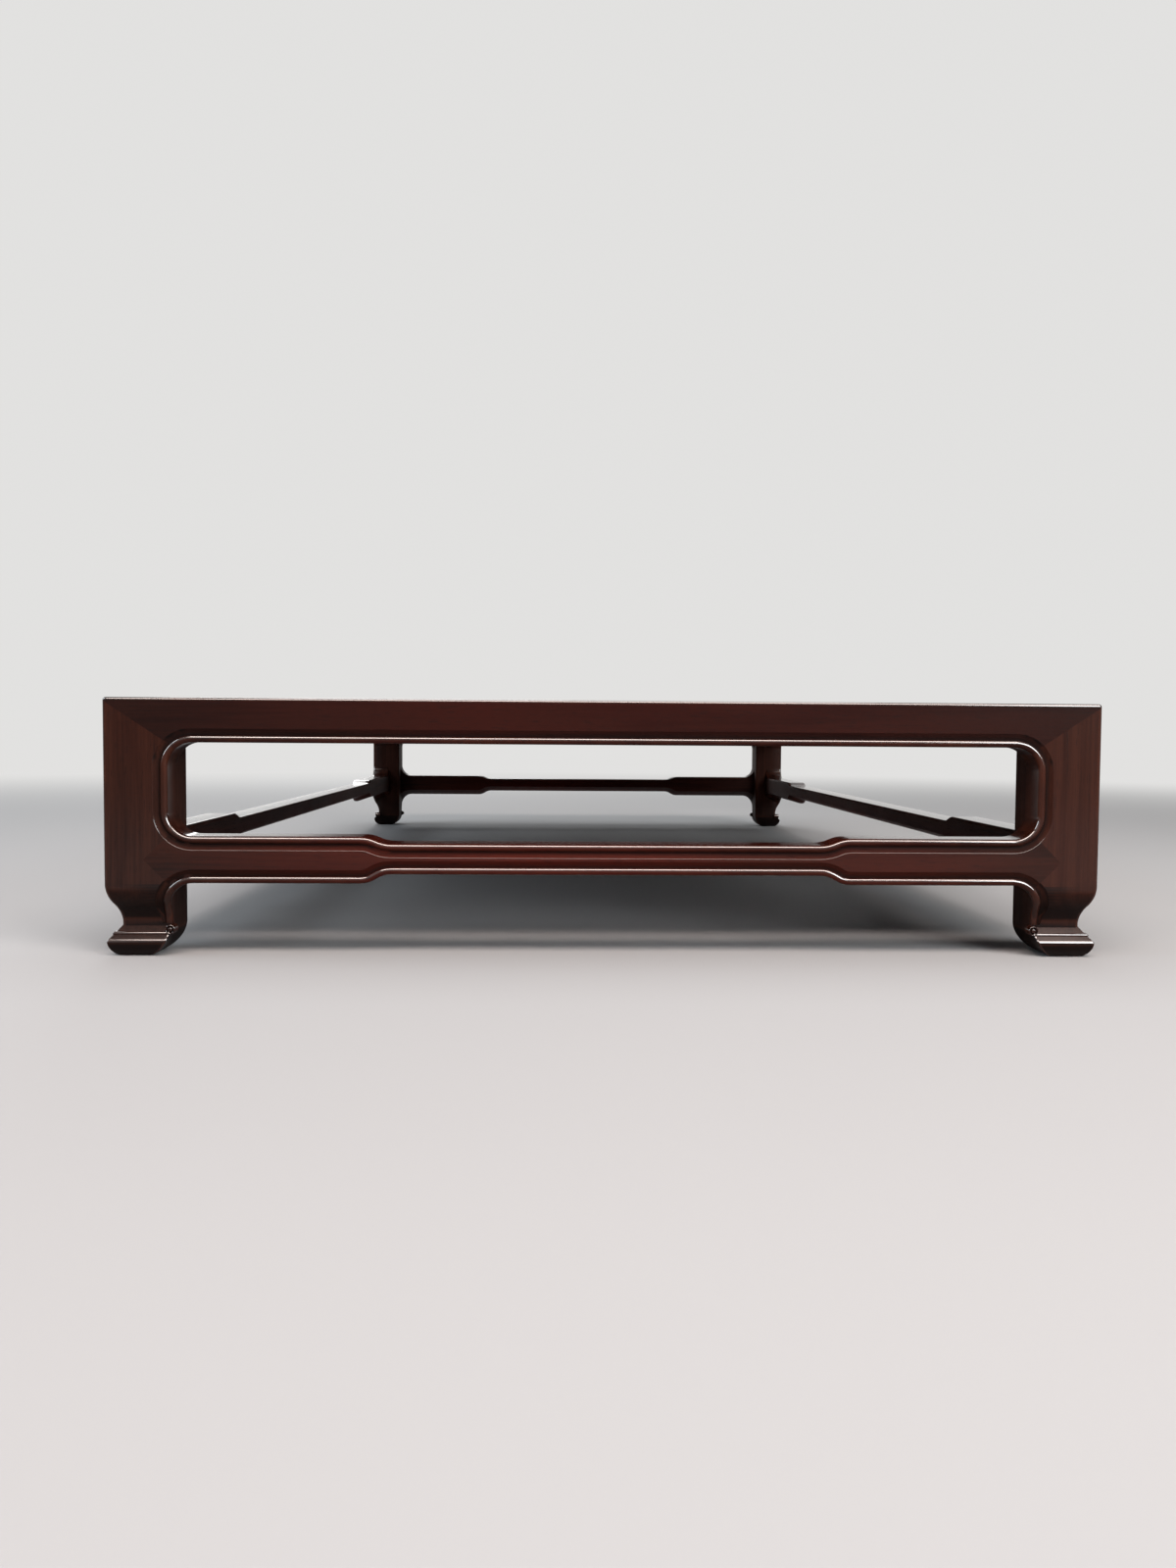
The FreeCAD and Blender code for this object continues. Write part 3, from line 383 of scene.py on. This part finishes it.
SWAY_STRETCH = (5, 18, 18)
SWAY_REACH = (0, 8 * MM, 8 * MM)
MIDDLE_GREY = (0.5, 0.5, 0.5)
RINGS_PER_METRE = 260.0
RING_ROUGHNESS = 0.6
FIBRE_STRETCH = (28, 950, 950)
PORE_STRETCH = (210, 3600, 3600)
PORE_EDGE = (0.66, 0.76)
CLOUD_STRETCH = (6, 26, 26)
CLOUD_EDGE = (0.36, 0.66)
CLOUD_LEAST = 0.3
RING_SHARE = 0.6
STREAK_EDGE = (0.34, 0.58)
FULL_BLUSH = 0.25
PORE_COLOUR = (0.006, 0.003, 0.003, 1)
PORE_DARKNESS = 0.4
RUB_STRETCH = (40, 40, 40)
RUB_ROUGHNESS = 0.14
PORE_ROUGHNESS = 0.12
LEAST_ROUGHNESS = 0.26
FIBRE_RELIEF = 0.35
PORE_RELIEF = 0.65


def rosewood_group():
    """Solid rosewood: growth rings round a heart, fibres and pores along X, a red blush near the middle."""
    tree, given, result = new_group("rosewood", (
        ("Grain", "NodeSocketVector", (0, 0, 0)),
        ("Heart", "NodeSocketVector", (0, 0, 0)),
        ("Streak Colour", "NodeSocketColor", PORE_COLOUR),
        ("Body Colour", "NodeSocketColor", PORE_COLOUR),
        ("Blush Colour", "NodeSocketColor", PORE_COLOUR),
        ("Blush", "NodeSocketFloat", 0.0),
        ("Blush Reach", "NodeSocketFloat", 1.0),
    ), (("Colour", "NodeSocketColor"), ("Roughness", "NodeSocketFloat"), ("Height", "NodeSocketFloat")))
    bend = noise(tree, given["Grain"], SWAY_STRETCH, 1.0)["Color"]
    sway = vector(tree, "MULTIPLY", vector(tree, "SUBTRACT", bend, MIDDLE_GREY), SWAY_REACH)
    grain = vector(tree, "ADD", given["Grain"], sway)
    from_heart = vector(tree, "MULTIPLY", vector(tree, "SUBTRACT", grain, given["Heart"]), (0, 1, 1))
    radius = put(tree, "ShaderNodeVectorMath", {0: from_heart}, operation="LENGTH").outputs["Value"]
    ring_place = number(tree, "MULTIPLY", radius, RINGS_PER_METRE)
    ring_inputs = {"W": ring_place, "Scale": 1.0, "Detail": 3.0, "Roughness": RING_ROUGHNESS}
    rings = put(tree, "ShaderNodeTexNoise", ring_inputs, noise_dimensions="1D").outputs[0]
    fibres = noise(tree, grain, FIBRE_STRETCH, 3.0)[0]
    pores = share(tree, noise(tree, grain, PORE_STRETCH, 0.0)[0], *PORE_EDGE)
    clouds = share(tree, noise(tree, given["Grain"], CLOUD_STRETCH, 2.0)[0], *CLOUD_EDGE)

    fibre_part = number(tree, "MULTIPLY", fibres, 1 - RING_SHARE)
    figure = number(tree, "MULTIPLY_ADD", rings, RING_SHARE, fibre_part)
    striped = share(tree, figure, *STREAK_EDGE)
    wood = blend_colours(tree, striped, given["Streak Colour"], given["Body Colour"])
    along = number(tree, "ABSOLUTE", put(tree, "ShaderNodeSeparateXYZ", {0: given["Grain"]}).outputs[0])
    full_blush = number(tree, "MULTIPLY", given["Blush Reach"], FULL_BLUSH)
    fade = share(tree, along, given["Blush Reach"], full_blush)
    cloudy = number(tree, "MULTIPLY_ADD", clouds, 1 - CLOUD_LEAST, CLOUD_LEAST)
    amount = number(tree, "MULTIPLY", number(tree, "MULTIPLY", cloudy, fade), given["Blush"])
    blushed = blend_colours(tree, amount, wood, given["Blush Colour"])
    pored = blend_colours(tree, number(tree, "MULTIPLY", pores, PORE_DARKNESS), blushed, PORE_COLOUR)
    tree.links.new(pored, result["Colour"])

    rubbed = number(tree, "MULTIPLY", noise(tree, given["Grain"], RUB_STRETCH, 3.0)[0], RUB_ROUGHNESS)
    dull = number(tree, "MULTIPLY_ADD", pores, PORE_ROUGHNESS, rubbed)
    tree.links.new(number(tree, "ADD", dull, LEAST_ROUGHNESS), result["Roughness"])
    pits = number(tree, "MULTIPLY", pores, PORE_RELIEF)
    relief = number(tree, "SUBTRACT", number(tree, "MULTIPLY", fibres, FIBRE_RELIEF), pits)
    tree.links.new(relief, result["Height"])
    return tree


def polish_group():
    """Lacquer, thin inside the table and burnished on rounded edges; real wear on rounded edges plus a
    painted highlight on each sweep's brow; dirt and painted shade in creases; painted shade on downward faces
    and towards the feet.
    """
    tree, given, result = new_group("polish", (
        ("Place", "NodeSocketVector", (0, 0, 0)),
        ("Upward Gloss", "NodeSocketFloat", 0.0),
    ), (
        ("Lacquer", "NodeSocketFloat"), ("Roughness", "NodeSocketFloat"),
        ("Wear And Highlight", "NodeSocketFloat"), ("Dirt And Shade", "NodeSocketFloat"),
    ))
    bent = put(tree, "ShaderNodeAttribute", attribute_name="rounded").outputs["Fac"]
    sunk = put(tree, "ShaderNodeAttribute", attribute_name="sunk").outputs["Fac"]
    facing = put(tree, "ShaderNodeNewGeometry").outputs["Normal"]
    up = put(tree, "ShaderNodeSeparateXYZ", {0: facing}).outputs[2]
    x, y, z = put(tree, "ShaderNodeSeparateXYZ", {0: given["Place"]}).outputs
    patches = noise(tree, given["Place"], WEAR_STRETCH, 3.0)[0]

    low = share(tree, z, FOOT_TOP, FOOT_BOTTOM)
    down = share(tree, up, *DOWNWARD)
    hollow = number(tree, "MAXIMUM", number(tree, "MULTIPLY", bent, -1.0), 0.0)
    sharper = number(tree, "MULTIPLY_ADD", low, ARRIS_GAIN, 1.0)
    outward = number(tree, "MAXIMUM", bent, 0.0)
    rounded = number(tree, "MINIMUM", number(tree, "MULTIPLY", outward, sharper), 1.0)
    rubbing = share(tree, patches, *WEAR_EDGE)
    # Painted highlight: a lighter band where the face of a sweep starts to turn downwards near the feet,
    # joined to the real wear of rounded edges.
    band = number(tree, "MULTIPLY", share(tree, up, *BROW_START), share(tree, up, *BROW_END))
    brow_highlight = number(tree, "MULTIPLY", band, low)
    wear_and_highlight = number(tree, "MAXIMUM", number(tree, "MULTIPLY", rounded, rubbing), brow_highlight)
    tree.links.new(wear_and_highlight, result["Wear And Highlight"])
    # Dirt and painted shade in creases: faces near a sunk edge, such as a quirk, are darkened.
    corner = number(tree, "MULTIPLY", share(tree, sunk, *SUNK_EDGE), CREASE_DIRT_AND_SHADE)
    # Painted shade: faces turned downwards near the feet are darkened, and the feet as a whole are darker
    # towards the floor.
    shade_below = number(tree, "MAXIMUM", number(tree, "MULTIPLY", down, UNDERSIDE_SHADE), FOOT_SHADE)
    # Rounded strips keep less of the dirt and painted shade.
    spared = number(tree, "SUBTRACT", 1.0, number(tree, "MULTIPLY", rounded, ROUNDED_SPARING))
    dirt_and_shade = number(tree, "MAXIMUM", corner, number(tree, "MULTIPLY", low, shade_below))
    dirt_and_shade = number(tree, "MULTIPLY", dirt_and_shade, spared)
    tree.links.new(dirt_and_shade, result["Dirt And Shade"])

    inside = number(
        tree, "MINIMUM",
        number(tree, "SUBTRACT", HALF_WIDTH, number(tree, "ABSOLUTE", x)),
        number(tree, "SUBTRACT", HALF_LENGTH, number(tree, "ABSOLUTE", y)),
    )
    deep = number(tree, "MINIMUM", inside, number(tree, "SUBTRACT", HIGH_Z, z))
    rough = share(tree, deep, POLISH_FULL, POLISH_END)
    polished = number(tree, "SUBTRACT", 1.0, rough)
    foot_coat = number(tree, "MULTIPLY", low, FOOT_COAT)
    rubbed = number(tree, "MAXIMUM", share(tree, up, *RUBBED_SIDE), foot_coat)
    burnished = number(tree, "MULTIPLY", rounded, rubbed)
    dull = number(tree, "MAXIMUM", down, hollow)
    plain = number(tree, "MULTIPLY", number(tree, "SUBTRACT", 1.0, dull), FACE_COAT)
    coat = number(tree, "MAXIMUM", plain, burnished)
    upward = share(tree, up, *UPWARD)
    level = number(tree, "MULTIPLY", upward, given["Upward Gloss"])
    lacquer = number(tree, "MAXIMUM", number(tree, "MULTIPLY", polished, coat), level)
    tree.links.new(lacquer, result["Lacquer"])
    unpolished = number(tree, "MULTIPLY", number(tree, "MAXIMUM", rough, hollow), INSIDE_ROUGHNESS)
    satin = number(tree, "MULTIPLY", number(tree, "SUBTRACT", upward, level), TOP_ROUGHNESS)
    tree.links.new(number(tree, "MAXIMUM", unpolished, satin), result["Roughness"])
    return tree


POLISH_FULL = 2 * MM
POLISH_END = 8 * MM
INSIDE_ROUGHNESS = 0.30
TOP_ROUGHNESS = 0.12
FACE_COAT = 0.06
FOOT_COAT = 0.1
# Dirt and painted shade in creases.
CREASE_DIRT_AND_SHADE = 0.85
# Painted shade on the feet and on their downward faces.
FOOT_SHADE = 0.5
UNDERSIDE_SHADE = 0.9
ROUNDED_SPARING = 0.6
ARRIS_GAIN = 2.0
FOOT_TOP = 27 * MM
FOOT_BOTTOM = 17 * MM
WEAR_STRETCH = (90, 90, 90)
WEAR_EDGE = (0.35, 0.65)
WEAR_AND_HIGHLIGHT_SHARE = 0.35
SUNK_EDGE = (0.1, 0.9)
DOWNWARD = (-0.08, -0.20)
UPWARD = (0.9, 0.98)
RUBBED_SIDE = (0.0, 0.2)
# Where the painted highlight lies on the brow of a sweep, by how far its face turns downwards.
BROW_START = (-0.03, -0.10)
BROW_END = (-0.24, -0.15)
RELIEF_STRENGTH = 0.2
RELIEF_DEPTH = 0.04 * MM
# Lighter red for real wear on rounded edges and for the painted highlight on each sweep's brow.
WEAR_AND_HIGHLIGHT_COLOUR = (0.095, 0.026, 0.013, 1)
# Near-black for dirt and painted shade in creases, and for painted shade under and on the feet.
DIRT_AND_SHADE_COLOUR = (0.004, 0.0018, 0.0015, 1)
GRAIN_TURNS = {"X": (0, 0, 0), "Y": (0, 0, -pi / 2), "Z": (0, pi / 2, 0)}
rosewood = rosewood_group()
polish = polish_group()


def wood(name, direction, shift, heart, streak, body, blush_colour, blush, reach, gloss=0.0):
    """A lacquered rosewood with its grain along one direction."""
    material = bpy.data.materials.new(name)
    material.use_nodes = True
    tree = material.node_tree
    shader = tree.nodes["Principled BSDF"]
    place = put(tree, "ShaderNodeTexCoord").outputs["Object"]
    turned = put(tree, "ShaderNodeMapping", {
        "Vector": place, "Rotation": GRAIN_TURNS[direction], "Location": shift,
    }).outputs[0]
    figure = put(tree, "ShaderNodeGroup", node_tree=rosewood)
    tree.links.new(turned, figure.inputs["Grain"])
    for title, value in (
        ("Heart", heart), ("Streak Colour", streak), ("Body Colour", body),
        ("Blush Colour", blush_colour), ("Blush", blush), ("Blush Reach", reach),
    ):
        figure.inputs[title].default_value = value
    lacquer = put(tree, "ShaderNodeGroup", node_tree=polish)
    tree.links.new(place, lacquer.inputs["Place"])
    lacquer.inputs["Upward Gloss"].default_value = gloss
    # Lighter red for real wear on rounded edges and for the painted highlight on the brow of each sweep.
    wear_and_highlight = number(tree, "MULTIPLY", lacquer.outputs["Wear And Highlight"], WEAR_AND_HIGHLIGHT_SHARE)
    used = blend_colours(tree, wear_and_highlight, figure.outputs["Colour"], WEAR_AND_HIGHLIGHT_COLOUR)
    # Near-black for dirt and painted shade in creases, and painted shade on downward faces and the feet.
    colour = blend_colours(tree, lacquer.outputs["Dirt And Shade"], used, DIRT_AND_SHADE_COLOUR)
    tree.links.new(colour, shader.inputs["Base Color"])
    roughness = number(tree, "ADD", figure.outputs["Roughness"], lacquer.outputs["Roughness"])
    tree.links.new(roughness, shader.inputs["Roughness"])
    tree.links.new(lacquer.outputs["Lacquer"], shader.inputs["Coat Weight"])
    bump = put(tree, "ShaderNodeBump", {
        "Height": figure.outputs["Height"], "Strength": RELIEF_STRENGTH, "Distance": RELIEF_DEPTH,
    })
    tree.links.new(bump.outputs[0], shader.inputs["Normal"])
    shader.inputs["Specular IOR Level"].default_value = 0.1
    shader.inputs["Coat Roughness"].default_value = 0.12
    shader.inputs["Coat IOR"].default_value = 2.5
    return material


leg_wood = wood(
    "leg_rosewood", "Z", shift=(0, 0, 0), heart=(0, 0.07, 0.10),
    streak=(0.012, 0.0040, 0.0026, 1), body=(0.040, 0.0130, 0.0076, 1),
    blush_colour=(0.066, 0.014, 0.007, 1), blush=0.3, reach=1.0,
)
for end_name, end in LEG_ENDS.items():
    for side_name, side in LEG_SIDES.items():
        node = f"leg_{end_name}_{side_name}"
        leg = joined_copy(node, f"carved_{node}")
        carve_bead(leg, side, end, along_side=False)
        carve_bead(leg, side, end, along_side=True)
        flatten(leg)
        round_toe(leg, side, end)
        smooth_finish(leg)
        hand_over(leg, node, leg_wood)

# Stretchers
# Four flat bars that tie the legs near the floor, sawn narrower in the middle and worked with a bead and
# cove along both edges. Their shoulders are cut to a point that lies in the leg's face, with a tenon behind.
STRETCHERS = {
    "end_stretcher": (LEG_ENDS, "X", (0, 0.021, 0), (0, 0.05, 0.10), HALF_WIDTH - LEG_WIDTH),
    "side_stretcher": (LEG_SIDES, "Y", (0, 0.037, 0), (0, 0.06, 0.11), HALF_LENGTH - LEG_WIDTH),
}
for kind, (places, direction, shift, heart, reach) in STRETCHERS.items():
    stretcher_wood = wood(
        f"{kind}_rosewood", direction, shift, heart,
        streak=(0.009, 0.0024, 0.0014, 1), body=(0.034, 0.0080, 0.0040, 1),
        blush_colour=(0.112, 0.009, 0.0040, 1), blush=0.75, reach=reach, gloss=1.0,
    )
    for place in places:
        bar = joined_copy(f"{kind}_{place}", f"moulded_{kind}_{place}")
        flatten(bar)
        smooth_finish(bar)
        hand_over(bar, f"{kind}_{place}", stretcher_wood)

# Top frame rails
# Four wide rails mitred at the corners, with a bead and cove along the lower outer edge and a groove inside
# for the panel. Each mitre is locked by a tenon, and the legs' own tenons come up from below.
RAILS = {
    "end_rail": (LEG_ENDS, "X", (0, 0.013, 0.02), (0, 0.08, 0.12), HALF_WIDTH),
    "side_rail": (LEG_SIDES, "Y", (0, 0.029, 0.02), (0, 0.07, 0.12), HALF_LENGTH),
}
SEAM_EASE = 0.15 * MM


def on_mitre(first, second, angle):
    """Whether an edge of a rail's upper face runs along a mitre."""
    for point in (first, second):
        across = HALF_WIDTH - abs(point.x)
        inset = HALF_LENGTH - abs(point.y)
        if abs(across - inset) > NEAR or HIGH_Z - point.z > NEAR:
            return False
    return angle > SHARP_ANGLE


for kind, (places, direction, shift, heart, reach) in RAILS.items():
    rail_wood = wood(
        f"{kind}_rosewood", direction, shift, heart,
        streak=(0.006, 0.0020, 0.0016, 1), body=(0.021, 0.0062, 0.0042, 1),
        blush_colour=(0.060, 0.007, 0.004, 1), blush=0.6, reach=reach,
    )
    for place in places:
        rail = joined_copy(f"{kind}_{place}", f"moulded_{kind}_{place}")
        flatten(rail)
        round_edges(rail, on_mitre, SEAM_EASE)
        smooth_finish(rail)
        hand_over(rail, f"{kind}_{place}", rail_wood)

# Panel boards
# Three boards glued edge to edge along the table, planed thin and tongued all round into the frame's groove.
# Each board comes from another part of the log, so its figure breaks at the glue line.
BOARDS = {"left": (0.11, 1.0), "middle": (0.47, 0.84), "right": (0.83, 1.12)}
PANEL_DROP = 0.5 * MM
BOARD_STREAK = (0.013, 0.0040, 0.0027)
BOARD_BODY = (0.042, 0.0120, 0.0068)
BOARD_BLUSH = (0.085, 0.012, 0.006)


def on_board_edge(first, second, angle):
    """Whether an edge is one of the long ones round a board's upper face."""
    level = all(abs(HIGH_Z - PANEL_DROP - point.z) < NEAR for point in (first, second))
    return level and angle > SHARP_ANGLE and abs(first.x - second.x) < NEAR


for place, (shift, tone) in BOARDS.items():
    colours = (BOARD_STREAK, BOARD_BODY, BOARD_BLUSH)
    streak, body, blush = [(tone * red, tone * green, tone * blue, 1) for red, green, blue in colours]
    heart = (0, 0.05 + shift / 10, 0.14 + shift)
    board_wood = wood(
        f"{place}_board_rosewood", "Y", (shift, 0.01, shift), heart,
        streak=streak, body=body, blush_colour=blush, blush=0.5, reach=2.0,
    )
    board = joined_copy(f"panel_board_{place}", f"planed_board_{place}")
    flatten(board)
    round_edges(board, on_board_edge, SEAM_EASE)
    smooth_finish(board)
    hand_over(board, f"panel_board_{place}", board_wood)

# Battens
# Three plain bars across the underside of the panel that keep it flat. They slide into dovetail housings in
# the boards and are tenoned into the long rails. They are planed but not polished.
batten_wood = wood(
    "batten_rosewood", "X", shift=(0, 0.05, 0.01), heart=(0, 0.05, 0.13),
    streak=(0.030, 0.011, 0.008, 1), body=(0.070, 0.026, 0.016, 1),
    blush_colour=(0.090, 0.030, 0.018, 1), blush=0.3, reach=1.0,
)
for place in ("front", "middle", "rear"):
    batten = joined_copy(f"batten_{place}", f"planed_batten_{place}")
    flatten(batten)
    smooth_finish(batten)
    hand_over(batten, f"batten_{place}", batten_wood)

# Studio
# A wide pale floor that fades into pale air, a soft light above, a strip above the front edge, soft lights
# from the front, the rear and the left, and a camera where the photograph's was: close to the short end, low.
FLOOR_COLOUR = (0.48, 0.49, 0.50, 1)
FLOOR_RADIUS = 12.0
FADE_START = 0.5
FADE_END = 1.7
PALE_AIR = (0.76, 0.755, 0.745, 1)
DIM_AIR = (0.27, 0.268, 0.262, 1)
AIR_LIGHT = 0.2
AIR_TURN = (-0.5, 0.8)

bpy.ops.object.select_all(action="DESELECT")
bpy.ops.mesh.primitive_circle_add(vertices=96, radius=FLOOR_RADIUS, fill_type="NGON", location=(0, 0, 0))
floor = bpy.context.object
floor.name = "studio_floor"


def seen_directly(tree):
    """1 for what the camera sees, itself or in a reflection, and 0 for light on a matt face."""
    path = put(tree, "ShaderNodeLightPath").outputs
    seen = number(tree, "MAXIMUM", path["Is Camera Ray"], path["Is Glossy Ray"])
    return number(tree, "MAXIMUM", seen, path["Is Transmission Ray"])


def air_colour(tree, direction):
    """The colour of the air in a direction: pale to the eye, and dimmer where a front face reflects it."""
    ahead = put(tree, "ShaderNodeVectorMath", {0: direction}, operation="NORMALIZE").outputs[0]
    far_end = put(tree, "ShaderNodeSeparateXYZ", {0: ahead}).outputs[1]
    turn = share(tree, far_end, *AIR_TURN, "SMOOTHSTEP")
    to_eye = put(tree, "ShaderNodeLightPath").outputs["Is Camera Ray"]
    return blend_colours(tree, number(tree, "MAXIMUM", turn, to_eye), DIM_AIR, PALE_AIR)


paper = bpy.data.materials.new("studio_paper")
paper.use_nodes = True
tree = paper.node_tree
shader = tree.nodes["Principled BSDF"]
shader.inputs["Base Color"].default_value = FLOOR_COLOUR
shader.inputs["Roughness"].default_value = 0.9
shader.inputs["Specular IOR Level"].default_value = 0.1
place = put(tree, "ShaderNodeTexCoord").outputs["Object"]
distance = put(tree, "ShaderNodeVectorMath", {0: place}, operation="LENGTH").outputs["Value"]
fade = share(tree, distance, FADE_START, FADE_END, "SMOOTHSTEP")
air = put(tree, "ShaderNodeEmission", {"Color": air_colour(tree, place), "Strength": 1.0}).outputs[0]
faded = put(tree, "ShaderNodeMixShader", {
    0: number(tree, "MULTIPLY", fade, seen_directly(tree)), 1: shader.outputs[0], 2: air,
})
tree.links.new(faded.outputs[0], tree.nodes["Material Output"].inputs["Surface"])
floor.data.materials.append(paper)

world = bpy.data.worlds.new("studio_air")
world.use_nodes = True
tree = world.node_tree
background = tree.nodes["Background"]
outlook = put(tree, "ShaderNodeTexCoord").outputs["Generated"]
tree.links.new(air_colour(tree, outlook), background.inputs["Color"])
strength = put(tree, "ShaderNodeMapRange", {0: seen_directly(tree), 1: 0.0, 2: 1.0, 3: AIR_LIGHT, 4: 1.0})
tree.links.new(strength.outputs[0], background.inputs["Strength"])
bpy.context.scene.world = world


def soft_light(name, place, aim, width, depth, power, colour=(1, 1, 1)):
    """A soft box at a place, turned towards its aim."""
    lamp = bpy.data.lights.new(name, "AREA")
    lamp.color = colour
    lamp.shape = "RECTANGLE"
    lamp.size = width
    lamp.size_y = depth
    lamp.energy = power
    box = bpy.data.objects.new(name, lamp)
    box.location = place
    box.rotation_euler = (Vector(aim) - Vector(place)).to_track_quat("-Z", "Y").to_euler()
    box.visible_camera = False
    bpy.context.scene.collection.objects.link(box)


WARM_LIGHT = (1.0, 0.85, 0.78)
DAYLIGHT = (0.86, 0.93, 1.0)
soft_light("overhead_light", place=(0, 0.15, 1.35), aim=(0, 0.05, 0.05), width=0.9, depth=0.9, power=6)
soft_light(
    "strip_light", place=(0.05, -0.80, 0.95), aim=(0, -0.25, 0.05), width=1.3, depth=0.3, power=11,
    colour=WARM_LIGHT,
)
soft_light("front_light", place=(0.75, -1.0, 0.5), aim=(0, -0.25, 0.05), width=0.6, depth=0.5, power=7)
soft_light("rear_light", place=(-0.4, 1.5, 0.7), aim=(0, 0.25, 0.05), width=0.8, depth=0.6, power=7)
soft_light(
    "window_light", place=(-1.5, -0.45, 0.85), aim=(-0.1, -0.25, 0.05), width=0.9, depth=0.9, power=11,
    colour=DAYLIGHT,
)

PHOTO_HEIGHT = 1600
FOCAL_PIXELS = 1141.8
SENSOR_HEIGHT = 36.0
CAMERA_PLACE = (-0.0174, -0.6860, 0.0786)
CAMERA_YAW = radians(1.541)
CAMERA_PITCH = radians(2.536)
CAMERA_ROLL = radians(0.388)
lens = bpy.data.cameras.new("photo_camera")
lens.sensor_fit = "VERTICAL"
lens.sensor_height = SENSOR_HEIGHT
lens.lens = FOCAL_PIXELS / PHOTO_HEIGHT * SENSOR_HEIGHT
lens.clip_start = 0.01
camera = bpy.data.objects.new("photo_camera", lens)
facing = Matrix.Rotation(-CAMERA_YAW, 4, "Z") @ Matrix.Rotation(pi / 2 - CAMERA_PITCH, 4, "X")
camera.matrix_world = Matrix.Translation(CAMERA_PLACE) @ facing @ Matrix.Rotation(CAMERA_ROLL, 4, "Z")
bpy.context.scene.collection.objects.link(camera)
bpy.context.scene.camera = camera
bpy.context.scene.view_settings.view_transform = "Standard"
